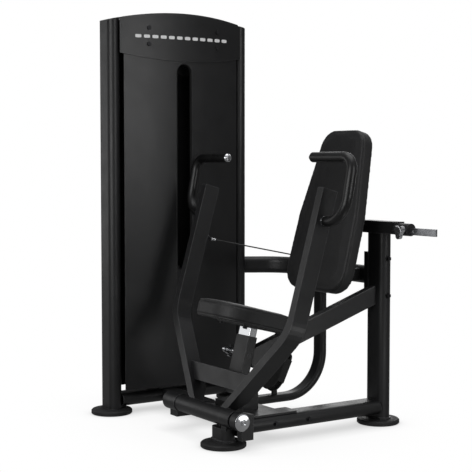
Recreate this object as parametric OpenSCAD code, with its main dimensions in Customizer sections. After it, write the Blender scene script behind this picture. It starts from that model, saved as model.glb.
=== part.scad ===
// Seated chest press machine: weight tower, welded frame, press arms, seat and back pad.
// Drawn in millimetres with +Z up. The seated user faces -Y and the weight tower is on -X.

/* [Weight tower] */
// Distance from the middle of the press arms to the middle of the tower
tower_offset = 573; // [568:1:585]
// Middle of the tower behind the press axis
tower_mid_y = 216; // [210:1:222]
// Distance between the two tower columns
column_pitch = 558; // [550:2:566]
// Height of the tower at the top of its arch
tower_h = 1505; // [1490:5:1520]
// Number of weight plates that rest below the selector pin
resting_count = 10; // [9:1:10]
// Number of weight plates that the selector pin lifts
lifted_count = 5; // [4:1:5]

/* [Frame tubes] */
// Long side of the flat-oval frame tube
oval_l = 98; // [94:1:100]
// Short side of the flat-oval frame tube
oval_w = 50; // [46:1:50]
// Wall of the frame tubes
wall = 3; // [2:0.5:4]
// Diameter of a foot disc
foot_d = 154; // [140:2:160]
// Thickness of a foot disc
foot_h = 20; // [16:1:20]
// Offset of the front foot and rear upright from the middle of the arms
frame_x = 108; // [106:1:110]
// Distance from the press axis back to the rear upright
upright_y = 669; // [664:1:674]
// Height of the rear upright
upright_h = 692; // [686:1:696]

/* [Press arms] */
// Height of the press axis
axis_h = 100; // [98:1:102]
// Outside radius of the turning pivot tube
pivot_r = 29; // [28:0.5:29]
// Half distance between the upper halves of the arms
arm_x = 355; // [350:1:358]
// Lean of the arms behind the vertical
arm_lean = 15.9; // [15:0.1:17]
// Wide side of the arm tube, seen from the side
arm_wide = 60; // [56:1:62]
// Narrow side of the arm tube, seen from the front
arm_thick = 30; // [28:1:32]
// Half distance between the outer sides of the hand grips
handle_reach = 470; // [462:1:472]
// Radius of the handle tube
handle_r = 14; // [13:0.5:14]
// Radius of the rubber grip
grip_r = 17; // [16.5:0.5:18]

/* [Seat and back] */
// Lean of the seat post and the back pad
lean = 15; // [14:0.5:16]
// Width of the seat pad
seat_w = 270; // [250:5:280]
// Length of the seat pad
seat_l = 296; // [280:2:300]
// Thickness of the seat pad with its board
seat_t = 62; // [58:1:64]
// Width of the back pad near its lower end
back_w = 344; // [330:2:350]
// Width of the back pad near its upper end
back_top_w = 250; // [240:2:260]
// Length of the back pad
back_l = 596; // [580:2:600]
// Thickness of the back pad
back_t = 55; // [50:1:56]

/* [Cables and pulleys] */
// Radius of the steel cables
cable_r = 2.5; // [2:0.25:2.5]
// Radius at which a cable's middle lies on a large pulley
run_r = 43; // [41:0.5:43]
// Radius at which a cable's middle lies on the tower's lower pulley
small_run_r = 27.5; // [26:0.5:27.5]

/* [Hidden] */
$fn = 48;

frame_grey = "#26282b";
panel_grey = "#35383c";
vinyl_black = "#1b1b1d";
rubber_black = "#161616";
chrome_silver = "#d8dade";
steel_grey = "#9a9ea3";

gap = 0.3;
run_gap = 0.05;
joint_gap = 0.04;
tower_x = -tower_offset;
column_front_y = tower_mid_y - column_pitch / 2;
column_rear_y = tower_mid_y + column_pitch / 2;
arch_r = 1338;
arch_z = tower_h - arch_r;
inner_y0 = column_front_y + oval_w / 2;
inner_y1 = column_rear_y - oval_w / 2;
tower_l = inner_y1 - inner_y0;
base_z0 = 28;
base_t = 47;
base_top = base_z0 + base_t;

// Curved sheets of the tower: the front one bulges towards +X, the rear one towards -X.
shroud_bulge = 74;
shroud_r = 1550;
shroud_t = 3;
shroud_z0 = 90;
shroud_inset = 6;
header_lip = 4;
header_overlap = 10.75;
header_z = 1325;
header_low_r = 1522;
slot_w = 71;
slot_z0 = 219;
slot_z1 = 1319;
beam_top = 1472;
beam_t = 100;
beam_d = 48;

plate_pitch = 25;
plate_gap = 0.6;
plate_l = 280;
plate_d = 80;
rod_r = 9;
rod_spread = 100;
buffer_h = 45;
stack_z = base_top + buffer_h + 2;
lifted_z = stack_z + resting_count * plate_pitch;
head_z = lifted_z + lifted_count * plate_pitch;
head_t = 36;
stem_r = 12;
pin_r = 4.8;
pin_z = lifted_z + plate_pitch / 2;

// Main frame levels
main_z0 = 38;
main_t = 50;
main_top = main_z0 + main_t;
flange_t = 7;
beam_y0 = 45;
upright_front = upright_y - oval_w / 2;
spine_x = -225;
spine_l = 60;
spine_w = 30;
spine_z = 60;
spine_bend = 160;
cross_z = 536;
cross_t = 66;
cross_w = 40;
spine_y = upright_y - 12;

// Press arm line: a plane that leans back through (arm_y0, axis_h)
arm_y0 = 27;
root_x = 84;
kink_h = 306;
arm_len = 787;
flare = atan((arm_x - root_x) / kink_h);
shaft_r = 12.5;
tube_left = -163;
tube_right = 121;
housing_r = 31;
disc_x = 220;

// Cable route: the rising run leans back by rise, from the guard pulley to the rear pulley
anchor_h = 597;
anchor_reach = 24;
anchor_y = arm_y0 + anchor_h * sin(arm_lean) + (arm_wide / 2 + anchor_reach) * cos(arm_lean);
anchor_z = axis_h + anchor_h * cos(arm_lean) - (arm_wide / 2 + anchor_reach) * sin(arm_lean);
port_y = 423;
port_z = 97.5;
guard_x = -233;
rise = 26;
rise_run = 471;
lower_pulley_z = port_z + small_run_r;
top_turn = atan2(small_run_r, port_y - tower_mid_y);
top_reach = sqrt(small_run_r * small_run_r + (port_y - tower_mid_y) * (port_y - tower_mid_y));
top_pulley_z = 1320;
axle_r = 6;

// Rear star knob and bar
top_bar_y = 658;
top_bar_t = 44;
top_bar_x0 = 45;
top_bar_x1 = 230;
bar_z = upright_h + 13;
bar_end_x = 418;
knob_x = 268;
boss_l = 60;

// Seat post line: leans back through (post_y, post_z)
post_y = 167;
post_z = 345;
sleeve_l = 205;
sleeve_x = 78;
sleeve_d = 38;
post_x = 70;
post_d = 30;
pop_h = -62;
hole_pitch = 30;
seat_z = 487;
seat_y = 12;
seat_front_r = 105;

// Back pad line: the middle of the lower edge of its front face
back_y = 434;
back_z = 490;

// The finished model's origin is the middle of its footprint on the floor.
centre_x = (handle_reach + grip_r - tower_offset - foot_d / 2) / 2;
centre_y = (upright_y + column_front_y) / 2;

module placed() {
  translate([-centre_x, -centre_y, 0]) children();
}

// Flat oval with its long side on X
module oval(l, w) {
  square([l - w, w], center = true);
  for (side = [-1, 1]) translate([side * (l - w) / 2, 0]) circle(d = w);
}

module rounded(l, w, r) {
  square([l - 2 * r, w], center = true);
  square([l, w - 2 * r], center = true);
  for (i = [-1, 1], j = [-1, 1]) translate([i * (l / 2 - r), j * (w / 2 - r)]) circle(r);
}

module oval_tube(l, w, h) {
  linear_extrude(h) difference() {
    oval(l, w);
    oval(l - 2 * wall, w - 2 * wall);
  }
}

// Cylinder along X from x0 to x1
module rod_x(r, x0, x1) {
  translate([x0, 0, 0]) rotate([0, 90, 0]) cylinder(r = r, h = x1 - x0);
}

// Outline in Y and Z, extruded along X
module along_x(x0, x1) {
  translate([x0, 0, 0]) rotate([90, 0, 90]) linear_extrude(x1 - x0) children();
}

module hex_bolt(r, h) {
  cylinder(r = r, h = h, $fn = 6);
  cylinder(r = r * 1.25, h = h * 0.2);
}

// ---- Weight tower ----

module arch_solid(inset) {
  translate([tower_x - 100, tower_mid_y, arch_z])
    rotate([0, 90, 0]) cylinder(r = arch_r - inset, h = 200, $fn = 360);
}

module tower_upright(y) {
  color(frame_grey) difference() {
    intersection() {
      translate([tower_x, y, foot_h]) linear_extrude(tower_h) oval(oval_l, oval_w);
      arch_solid(0);
    }
    intersection() {
      translate([tower_x, y, foot_h - 1])
        linear_extrude(tower_h) oval(oval_l - 2 * wall, oval_w - 2 * wall);
      arch_solid(wall);
    }
  }
}

module tower_front_upright() {
  tower_upright(column_front_y);
}

module tower_rear_upright() {
  tower_upright(column_rear_y);
}

module tower_top_beam() {
  color(frame_grey) difference() {
    translate([tower_x - beam_d / 2, inner_y0, beam_top - beam_t]) cube([beam_d, tower_l, beam_t]);
    translate([tower_x - beam_d / 2 + wall, inner_y0 - 1, beam_top - beam_t + wall])
      cube([beam_d - 2 * wall, tower_l + 2, beam_t - 2 * wall]);
  }
}

module tower_base_tube() {
  color(frame_grey) translate([tower_x, inner_y0, base_z0 + base_t / 2]) rotate([-90, 0, 0])
    oval_tube(oval_l, base_t, tower_l);
}

// Curved sheet between radius r0 and r1, from height z0 to z1, bulging towards +X.
// Each side edge stands inset inside the inner face of its column.
module curved_sheet(r0, r1, z0, z1, inset) {
  intersection() {
    translate([tower_x + shroud_bulge - shroud_r, tower_mid_y, z0]) difference() {
      cylinder(r = r1, h = z1 - z0, $fn = 360);
      translate([0, 0, -1]) cylinder(r = r0, h = z1 - z0 + 2, $fn = 360);
    }
    translate([tower_x, inner_y0 + inset, z0 - 1])
      cube([2 * shroud_bulge, tower_l - 2 * inset, z1 - z0 + 2]);
  }
}

module header_panel() {
  color(panel_grey) difference() {
    intersection() {
      curved_sheet(shroud_r + gap, shroud_r + header_lip, header_z, tower_h, -header_overlap);
      arch_solid(wall + gap);
      translate([tower_x, tower_mid_y, header_z + header_low_r])
        rotate([0, 90, 0]) cylinder(r = header_low_r, h = 100, $fn = 360);
    }
    header_screw_spots() rod_x(4.5, -1, 60);
  }
}

// Places its children at the four header screws, facing +X
module header_screw_spots() {
  for (dy = [-150.7, 150.7], z = [1385, 1444])
    translate([tower_x + 30, tower_mid_y + dy, z]) children();
}

module header_screws() {
  color(steel_grey) header_screw_spots() {
    rod_x(4, beam_d / 2 - 30, 43);
    rod_x(8, 41.7, 45);
  }
}

module tower_top_cap() {
  color(panel_grey) difference() {
    intersection() {
      arch_solid(0);
      translate([tower_x - 95, inner_y0, beam_top - 20]) cube([190, tower_l, 80]);
      cap_lens();
    }
    arch_solid(wall);
  }
}

module cap_lens() {
  intersection_for (side = [-1, 1])
    translate([tower_x + side * (shroud_bulge - shroud_r), tower_mid_y, beam_top - 30])
      cylinder(r = shroud_r + header_lip, h = 80, $fn = 360);
}

module slot_outline(w) {
  straight_l = slot_z1 - slot_z0 - slot_w;
  translate([tower_mid_y, (slot_z0 + slot_z1) / 2]) {
    square([w, straight_l], center = true);
    for (side = [-1, 1]) translate([0, side * straight_l / 2]) circle(d = w);
  }
}

module front_shroud() {
  color(panel_grey) difference() {
    curved_sheet(shroud_r - shroud_t, shroud_r, shroud_z0, header_z + 40, shroud_inset);
    along_x(tower_x, tower_x + 100) slot_outline(slot_w);
    translate([tower_x, port_y, port_z]) rod_x(9, 10, 80);
    translate([tower_x, port_y - 9, shroud_z0 - 1]) cube([80, 18, port_z - shroud_z0 + 1]);
  }
}

module slot_trim() {
  color(rubber_black) along_x(tower_x + shroud_bulge - 16, tower_x + shroud_bulge) difference() {
    slot_outline(slot_w - 2 * gap);
    slot_outline(slot_w - 7);
  }
}

module rear_shroud() {
  color(panel_grey) translate([2 * tower_x, 0, 0]) mirror([1, 0, 0])
    curved_sheet(shroud_r - shroud_t, shroud_r, shroud_z0, beam_top - 22, shroud_inset);
}

module foot_disc(x, y) {
  translate([x, y, 0]) rotate_extrude($fn = 64) polygon([
    [0, 0], [foot_d / 2 - 3, 0], [foot_d / 2, 3], [foot_d / 2, foot_h - 7],
    [foot_d / 2 - 4, foot_h - 3], [foot_d / 2 - 16, foot_h], [0, foot_h]
  ]);
}

module foot_discs() {
  color(rubber_black) {
    foot_disc(tower_x, column_front_y);
    foot_disc(tower_x, column_rear_y);
    foot_disc(frame_x, 0);
    foot_disc(frame_x, upright_y);
  }
}

module rod_spots() {
  for (side = [-1, 1]) translate([tower_x, tower_mid_y + side * rod_spread, 0]) children();
}

module guide_rods() {
  color(chrome_silver) rod_spots() translate([0, 0, base_top])
    cylinder(r = rod_r, h = beam_top - beam_t - base_top);
}

module stack_buffers() {
  color(rubber_black) rod_spots() translate([0, 0, base_top]) difference() {
    cylinder(r = 24, h = buffer_h);
    translate([0, 0, -1]) cylinder(r = rod_r + gap, h = buffer_h + 2);
  }
}

module plate(z) {
  difference() {
    translate([tower_x, tower_mid_y, z]) linear_extrude(plate_pitch - plate_gap) difference() {
      rounded(plate_d, plate_l, 6);
      circle(stem_r + 1);
      for (side = [-1, 1]) translate([0, side * rod_spread]) circle(rod_r + 1.5);
    }
    translate([tower_x, tower_mid_y, z + plate_pitch / 2]) rod_x(pin_r + 0.7, 0, plate_d);
  }
}

module resting_plates() {
  color(frame_grey) for (i = [0:resting_count - 1]) plate(stack_z + i * plate_pitch);
}

module lifted_plates() {
  color(frame_grey) for (i = [0:lifted_count - 1]) plate(lifted_z + i * plate_pitch);
}

module head_plate() {
  color(frame_grey) translate([tower_x, tower_mid_y, head_z]) {
    linear_extrude(head_t) difference() {
      rounded(plate_d, plate_l, 6);
      circle(stem_r);
      for (side = [-1, 1]) translate([0, side * rod_spread]) circle(rod_r + run_gap);
    }
    translate([0, 0, head_t]) cylinder(r = stem_r + 6, h = 12);
  }
}

module selector_stem() {
  stem_l = head_z + head_t - stack_z - 4;
  color(steel_grey) difference() {
    translate([tower_x, tower_mid_y, stack_z + 4]) cylinder(r = stem_r, h = stem_l);
    for (i = [0:resting_count + lifted_count - 1])
      translate([tower_x, tower_mid_y, stack_z + (i + 0.5) * plate_pitch]) rod_x(pin_r + 0.7, -20, 20);
  }
}

module selector_pin() {
  color(rubber_black) translate([tower_x, tower_mid_y, pin_z]) {
    rod_x(pin_r, -8, plate_d / 2 + 6);
    rod_x(11, plate_d / 2 + 2, plate_d / 2 + 24);
  }
}

// ---- Welded frame ----

module main_beam() {
  color(frame_grey) translate([frame_x, beam_y0, main_z0 + main_t / 2]) rotate([-90, 0, 0])
    oval_tube(oval_l, main_t, upright_front - beam_y0);
}

module frame_bolts() {
  color(steel_grey) {
    for (y = [179, 317]) translate([frame_x + oval_l / 2, y, main_z0 + main_t / 2])
      rotate([0, 90, 0]) hex_bolt(7, 9);
    for (z = [468, 601]) translate([frame_x + oval_l / 2, upright_y, z])
      rotate([0, 90, 0]) hex_bolt(8, 9);
  }
}

module crossbar() {
  bar_y = 160;
  bar_z = 44;
  bar_w = 75;
  color(frame_grey) difference() {
    translate([spine_x + spine_l / 2, bar_y, bar_z])
      cube([frame_x - spine_x - spine_l / 2, bar_w, main_t]);
    translate([spine_x, bar_y + wall, bar_z + wall])
      cube([frame_x - spine_x, bar_w - 2 * wall, main_t - 2 * wall]);
    translate([frame_x, bar_y - 60, main_z0 + main_t / 2]) rotate([-90, 0, 0])
      linear_extrude(200) oval(oval_l, main_t);
    translate([frame_x - 35, 50, main_top]) cube([80, 240, 30]);
  }
  color(frame_grey) translate([frame_x, 168, main_top])
    linear_extrude(flange_t) rounded(70, 224, 8);
}

module link_tube() {
  color(frame_grey) difference() {
    translate([tower_x + 40, 136, base_z0]) cube([spine_x - spine_l / 2 - tower_x - 40, 60, base_t]);
    translate([tower_x, 136 + wall, base_z0 + wall])
      cube([-tower_x + spine_x, 60 - 2 * wall, base_t - 2 * wall]);
    translate([tower_x, 100, base_z0 + base_t / 2]) rotate([-90, 0, 0])
      linear_extrude(150) oval(oval_l, base_t);
  }
}

module front_post() {
  color(frame_grey) difference() {
    union() {
      translate([frame_x, 0, foot_h]) linear_extrude(46) oval(oval_l, oval_w);
      translate([frame_x, 0, foot_h]) linear_extrude(6) oval(oval_l + 8, oval_w + 8);
      translate([0, 0, axis_h]) rod_x(housing_r, tube_right + 1, 180);
      translate([tube_right + 2, -19, 60]) cube([30, 38, 20]);
    }
    translate([0, 0, axis_h]) rod_x(shaft_r, 0, 300);
  }
}

module pivot_bracket() {
  color(frame_grey) difference() {
    union() {
      translate([0, 0, axis_h]) rod_x(housing_r, 192, disc_x);
      along_x(192, disc_x) polygon([[0, 38], [beam_y0, 38], [beam_y0, 122], [0, 131]]);
      translate([124, 33, 38]) cube([70, beam_y0 - 33, 70]);
      translate([62, oval_w / 2, 38]) cube([134, beam_y0 - oval_w / 2, 28]);
    }
    translate([0, 0, axis_h]) rod_x(shaft_r, 0, 300);
  }
}

module left_pivot_block() {
  color(frame_grey) difference() {
    union() {
      translate([0, 0, axis_h]) rod_x(31.5, -243, tube_left - 1);
      translate([-243, 0, 45]) cube([48, 60, 45]);
    }
    translate([0, 0, axis_h]) rod_x(shaft_r, -300, 0);
  }
}

module pivot_shaft() {
  color(chrome_silver) translate([0, 0, axis_h]) rod_x(shaft_r, -242, disc_x - gap);
}

module pivot_end_disc() {
  color(chrome_silver) translate([0, 0, axis_h]) {
    translate([disc_x, 0, 0]) rotate([0, 90, 0])
      rotate_extrude() polygon([[0, 0], [29, 0], [29, 4], [25, 7], [12, 9], [0, 9]]);
    difference() {
      rod_x(10, disc_x + 8, disc_x + 18);
      translate([disc_x + 12, 0, 0]) rotate([0, 90, 0]) cylinder(r = 5, h = 10, $fn = 6);
    }
  }
}

// ---- Press arms, all on the turning pivot tube ----

module pivot_tube() {
  color(frame_grey) translate([0, 0, axis_h]) difference() {
    rod_x(pivot_r, tube_left, tube_right);
    rod_x(pivot_r - 4, tube_left - 1, tube_right + 1);
  }
}

module pivot_bushes() {
  color(steel_grey) translate([0, 0, axis_h]) for (x = [tube_left, tube_right - 40]) difference() {
    rod_x(pivot_r - 4, x, x + 40);
    rod_x(shaft_r + run_gap, x - 1, x + 41);
  }
}

// Frame of the leaning arm plane: X across, Y up along the arm, Z to the front
module arm_plane() {
  translate([0, arm_y0, axis_h]) rotate([90 - arm_lean, 0, 0]) children();
}

// Bent strip of half thickness h, from the pivot tube to the arm's upper end
module arm_strip(h, start, end) {
  turn = tan(flare / 2);
  root = [root_x + start * tan(flare), start];
  slope = [h / cos(flare), 0];
  polygon([
    root - slope, [arm_x - h, kink_h + h * turn], [arm_x - h, end],
    [arm_x + h, end], [arm_x + h, kink_h - h * turn], root + slope
  ]);
}

module arm_trim() {
  along_x(0, arm_x + 50) polygon([
    [-60, axis_h], [20, axis_h], [70, axis_h + 45], [400, axis_h + 45], [400, 1000], [-60, 1000]
  ]);
}

module press_arm() {
  color(frame_grey) difference() {
    intersection() {
      arm_plane() translate([0, 0, -arm_wide / 2]) linear_extrude(arm_wide)
        arm_strip(arm_thick / 2, -40, arm_len);
      arm_trim();
    }
    arm_plane() translate([0, 0, -arm_wide / 2 + wall]) linear_extrude(arm_wide - 2 * wall)
      arm_strip(arm_thick / 2 - wall, 60, arm_len - wall);
    translate([0, 0, axis_h]) rod_x(pivot_r, 0, tube_right);
    translate([0, 0, axis_h]) rod_x(housing_r + 3, tube_right, 300);
  }
}

module right_press_arm() {
  mirror([1, 0, 0]) press_arm();
}

module left_press_arm() {
  press_arm();
}

module foot_bar() {
  u0 = 85;
  u1 = 145;
  x0 = root_x + u0 * tan(flare) - arm_thick / 2 / cos(flare);
  x1 = root_x + u1 * tan(flare) - arm_thick / 2 / cos(flare);
  color(frame_grey) arm_plane() translate([0, 0, -19]) difference() {
    linear_extrude(30) polygon([[-x0, u0], [x0, u0], [x1, u1], [-x1, u1]]);
    translate([-x0 + 8, u0 + wall, wall]) cube([2 * x0 - 16, u1 - u0 - 2 * wall, 30 - 2 * wall]);
  }
}

// Handle path: out from the arm, up and back, then in to the grip
handle_low = [arm_x + arm_thick / 2 + run_gap, 217, 755];
handle_rise = [0, 38, 206];
handle_bend = 46;
handle_low_bend = 80;
collar_t = 4;
rise_len = sqrt(handle_rise[1] * handle_rise[1] + handle_rise[2] * handle_rise[2]);
handle_tilt = atan2(handle_rise[1], handle_rise[2]);
grip_end_x = 252;

module handle_run(r, x0, x1, u) {
  translate([0, u, 0]) rod_x(r, x0, x1);
}

module quarter_bend(r, bend, x, u, turn) {
  translate([x, u, 0]) rotate([0, 0, turn]) rotate_extrude(angle = 90, $fn = 48)
    translate([bend, 0]) circle(r);
}

// The whole handle path at radius r, from x0 beside the arm to x1 at the grip's inner end
module handle_path(r, x0, x1) {
  low_x = handle_reach - handle_low_bend;
  high_x = handle_reach - handle_bend;
  handle_run(r, x0, low_x, 0);
  quarter_bend(r, handle_low_bend, low_x, handle_low_bend, -90);
  translate([handle_reach, handle_low_bend, 0]) rotate([-90, 0, 0])
    cylinder(r = r, h = rise_len - handle_low_bend - handle_bend);
  quarter_bend(r, handle_bend, high_x, rise_len - handle_bend, 0);
  handle_run(r, x1, high_x, rise_len);
}

module handle_tubes() {
  color(frame_grey) for (side = [0, 1]) mirror([side, 0, 0])
    translate([0, handle_low[1], handle_low[2]]) rotate([90 - handle_tilt, 0, 0])
      handle_path(handle_r, handle_low[0], grip_end_x + 8);
}

module hand_grips() {
  start_x = handle_low[0] + collar_t + gap;
  color(rubber_black) for (side = [0, 1]) mirror([side, 0, 0])
    translate([0, handle_low[1], handle_low[2]]) rotate([90 - handle_tilt, 0, 0]) difference() {
      handle_path(grip_r, start_x, grip_end_x + 8);
      handle_path(handle_r, start_x - 1, grip_end_x);
    }
}

module grip_caps() {
  color(chrome_silver) for (side = [0, 1]) mirror([side, 0, 0])
    translate([0, handle_low[1], handle_low[2]]) rotate([90 - handle_tilt, 0, 0])
      translate([grip_end_x + 8, rise_len, 0]) rotate([0, -90, 0])
        rotate_extrude() polygon([[0, 0], [15, 0], [15, 3], [13, 6], [11, 10], [7, 12], [0, 12]]);
}

// A collar round each handle tube where it leaves the outer face of its arm
module handle_collars() {
  color(chrome_silver) for (side = [0, 1]) mirror([side, 0, 0])
    translate([0, handle_low[1], handle_low[2]]) rotate([90 - handle_tilt, 0, 0])
      translate([handle_low[0], 0, 0]) rotate([0, 90, 0]) difference() {
        cylinder(r = handle_r + 3, h = collar_t);
        translate([0, 0, -1]) cylinder(r = handle_r + run_gap, h = collar_t + 2);
      }
}

module cable_anchor() {
  color(steel_grey) arm_plane() translate([-arm_x, anchor_h, -arm_wide / 2]) rotate([180, 0, 0]) {
    cylinder(r1 = 14, r2 = 10, h = anchor_reach - 12);
    translate([0, 0, anchor_reach - 12]) cylinder(r = 7, h = 12);
  }
}

// ---- Cables and pulleys ----

// Grooved wheel in the X-Y plane, its cable's middle at radius r
module wheel(r) {
  half = 8;
  root = r - cable_r - 0.4;
  rotate_extrude($fn = 64) polygon([
    [axle_r + run_gap, -half], [r + 2, -half], [r + 2, -half + 2], [root, -cable_r],
    [root, cable_r], [r + 2, half - 2], [r + 2, half], [axle_r + run_gap, half]
  ]);
}

module cable_line(from, to) {
  run = to - from;
  span = norm(run);
  translate(from) rotate([0, acos(run[2] / span), atan2(run[1], run[0])])
    translate([0, 0, joint_gap]) cylinder(r = cable_r, h = span - 2 * joint_gap, $fn = 24);
}

// Bent cable in the X-Y plane, its ends a hair short of its neighbours
module cable_arc(r, angle) {
  short = joint_gap / r * 57.3;
  rotate([0, 0, short]) rotate_extrude(angle = angle - 2 * short, $fn = 96)
    translate([r, 0]) circle(cable_r, $fn = 24);
}

// Cable anchor as seen from the guard frame: X across, Y along the rising run, Z to its front
anchor_dy = anchor_y - port_y;
anchor_dz = anchor_z - port_z;
anchor_side = run_r + arm_x + guard_x;
anchor_up = anchor_dy * sin(rise) + anchor_dz * cos(rise);
anchor_out = anchor_dz * sin(rise) - anchor_dy * cos(rise);
wheel_turn = atan2(anchor_out, anchor_side);
lead_x = run_r - sqrt(anchor_side * anchor_side + anchor_out * anchor_out);
lead_y = anchor_up - rise_run;
lead_dist = sqrt(lead_x * lead_x + lead_y * lead_y);
lead_run = sqrt(lead_dist * lead_dist - run_r * run_r);
wrap = 360 + atan2(lead_y, lead_x) - acos(run_r / lead_dist);

// Frame of the rising run, at the port where the cable leaves the guard pulley's lower side
module rise_frame() {
  translate([guard_x, port_y, port_z]) rotate([90 - rise, 0, 0]) children();
}

// Frame of the rear pulley: its wheel lies in the X-Y plane and faces the cable anchor
module rear_wheel_frame() {
  rise_frame() translate([run_r, rise_run, 0]) rotate([0, wheel_turn, 0])
    translate([-run_r, 0, 0]) children();
}

// The straight run to the press arm stops just short of the slanted end of the anchor
module drive_cable() {
  anchor_gap = 1.5;
  color(steel_grey) rear_wheel_frame() rotate([0, 0, wrap]) translate([run_r, joint_gap, 0])
    rotate([-90, 0, 0]) cylinder(r = cable_r, h = lead_run - joint_gap - anchor_gap, $fn = 24);
}

module guard_frame() {
  rise_frame() translate([0, run_r, 0]) children();
}

module top_frame() {
  translate([tower_x, tower_mid_y, top_pulley_z]) rotate([0, 0, top_turn]) children();
}

module return_cable() {
  color(steel_grey) {
    rear_wheel_frame() cable_arc(run_r, wrap);
    guard_frame() rotate([0, 0, -90]) cable_arc(run_r, 90);
    rise_frame() translate([run_r, run_r + joint_gap, 0]) rotate([-90, 0, 0])
      cylinder(r = cable_r, h = rise_run - run_r - 2 * joint_gap, $fn = 24);
    cable_line([tower_x, port_y, port_z], [guard_x, port_y, port_z]);
    translate([tower_x, port_y, lower_pulley_z]) rotate([90, 0, 0])
      rotate([0, 0, 180]) cable_arc(small_run_r, 90);
    cable_line([tower_x - small_run_r, port_y, lower_pulley_z],
      [tower_x - small_run_r, port_y, top_pulley_z]);
    top_frame() {
      translate([0, top_reach - run_r, 0]) rotate([90, 0, 90]) cable_arc(run_r, 90);
      cable_line([0, run_r, run_r], [0, top_reach - run_r, run_r]);
      translate([0, run_r, 0]) rotate([90, 0, 90]) rotate([0, 0, 90]) cable_arc(run_r, 90);
    }
  }
}

module stack_cable() {
  color(steel_grey) cable_line([tower_x, tower_mid_y, head_z + head_t + 12],
    [tower_x, tower_mid_y, top_pulley_z]);
}

module rear_pulley() {
  color(rubber_black) rear_wheel_frame() wheel(run_r);
}

module guard_pulley() {
  color(rubber_black) guard_frame() wheel(run_r);
}

module tower_lower_pulley() {
  color(rubber_black) translate([tower_x, port_y, lower_pulley_z]) rotate([90, 0, 0]) wheel(small_run_r);
}

module top_inner_pulley() {
  color(rubber_black) top_frame() translate([0, run_r, 0]) rotate([90, 0, 90]) wheel(run_r);
}

module top_outer_pulley() {
  color(rubber_black) top_frame() translate([0, top_reach - run_r, 0]) rotate([90, 0, 90]) wheel(run_r);
}

// Two cheeks and an axle around a wheel; the cheeks reach from the axle to -Y
module cheeks(reach, w) {
  for (side = [0, 1]) mirror([0, 0, side]) translate([0, 0, 9]) linear_extrude(4) {
    circle(w / 2);
    translate([-w / 2, -reach]) square([w, reach]);
  }
  translate([0, 0, -15]) cylinder(r = axle_r, h = 30);
}

module pulley_mounts() {
  top_gap = beam_top - beam_t - top_pulley_z;
  color(frame_grey) {
    top_frame() for (y = [run_r, top_reach - run_r])
      translate([0, y, 0]) rotate([90, 0, 90]) rotate([0, 0, 180]) cheeks(top_gap, 30);
    difference() {
      rear_wheel_frame() rotate([0, 0, 118]) cheeks(90, 34);
      translate([-400, upright_y - cross_w / 2, 400]) cube([400, 200, 300]);
    }
    translate([tower_x, port_y, lower_pulley_z]) rotate([90, 0, 0])
      cheeks(lower_pulley_z - base_top, 30);
  }
}

module pulley_guard() {
  color(rubber_black) difference() {
    union() {
      guard_frame() {
        for (side = [0, 1]) mirror([0, 0, side]) translate([0, 0, 9]) linear_extrude(6) {
          circle(50);
          translate([0, -14]) square([50, 96]);
          translate([25, 82]) circle(25);
        }
        translate([0, 0, -17]) cylinder(r = axle_r, h = 34);
        translate([50, -10, -15]) cube([5, 90, 30]);
      }
      translate([spine_x + 8, 436, spine_z + spine_w / 2]) cylinder(r = 11, h = 48);
    }
    guard_frame() translate([0, 0, -9]) cylinder(r = run_r + 6, h = 18);
  }
}

// ---- Spine, cross tube and rear upright ----

module spine_tube() {
  vertical_h = cross_z - cross_t / 2 - spine_z - spine_bend;
  color(frame_grey) translate([spine_x, 0, 0]) {
    translate([0, spine_y, spine_z + spine_bend]) oval_tube(spine_l, spine_w, vertical_h);
    translate([0, spine_y - spine_bend, spine_z + spine_bend]) rotate([90, 0, 90]) rotate([0, 0, -90])
      rotate_extrude(angle = 90, $fn = 96) translate([spine_bend, 0]) rotate([0, 0, 90]) difference() {
        oval(spine_l, spine_w);
        oval(spine_l - 2 * wall, spine_w - 2 * wall);
      }
    translate([0, 60, spine_z]) rotate([-90, 0, 0])
      oval_tube(spine_l, spine_w, spine_y - spine_bend - 60);
  }
}

cross_heading = 60;
cross_bend = 150;
cross_lead = (upright_y - cross_bend + cross_bend * cos(cross_heading) - column_rear_y) / sin(cross_heading);
cross_bend_x = tower_x + cross_lead * cos(cross_heading) + cross_bend * sin(cross_heading);
flange_x = frame_x - oval_l / 2;

// Hollow section of the cross tube, standing on its long side
module cross_section() {
  rotate([0, 0, 90]) difference() {
    oval(cross_t, cross_w);
    oval(cross_t - 2 * wall, cross_w - 2 * wall);
  }
}

module cross_tube() {
  flange_w = 46;
  flange_h = 170;
  color(frame_grey) {
    difference() {
      translate([tower_x, column_rear_y, cross_z]) rotate([0, 0, cross_heading]) rotate([90, 0, 90])
        linear_extrude(cross_lead) cross_section();
      translate([tower_x, column_rear_y, 400]) linear_extrude(300) oval(oval_l, oval_w);
    }
    translate([cross_bend_x, upright_y - cross_bend, cross_z]) rotate([0, 0, 90])
      rotate_extrude(angle = cross_heading, $fn = 96) translate([cross_bend, 0]) cross_section();
    translate([cross_bend_x, upright_y, cross_z]) rotate([90, 0, 90])
      linear_extrude(flange_x - 8 - cross_bend_x) cross_section();
    difference() {
      translate([flange_x - 8, upright_y - flange_w / 2, 452]) cube([24, flange_w, flange_h]);
      translate([frame_x, upright_y, 400]) linear_extrude(300) oval(oval_l, oval_w);
    }
  }
}

module rear_upright() {
  color(frame_grey) translate([frame_x, upright_y, foot_h]) {
    oval_tube(oval_l, oval_w, upright_h - foot_h);
    linear_extrude(5) oval(oval_l, oval_w);
    difference() {
      linear_extrude(6) oval(oval_l + 10, oval_w + 10);
      translate([0, 0, -1]) linear_extrude(8) oval(oval_l, oval_w);
      translate([-oval_l, -oval_w, -1]) cube([2 * oval_l, oval_w / 2, 20]);
    }
  }
}

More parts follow.
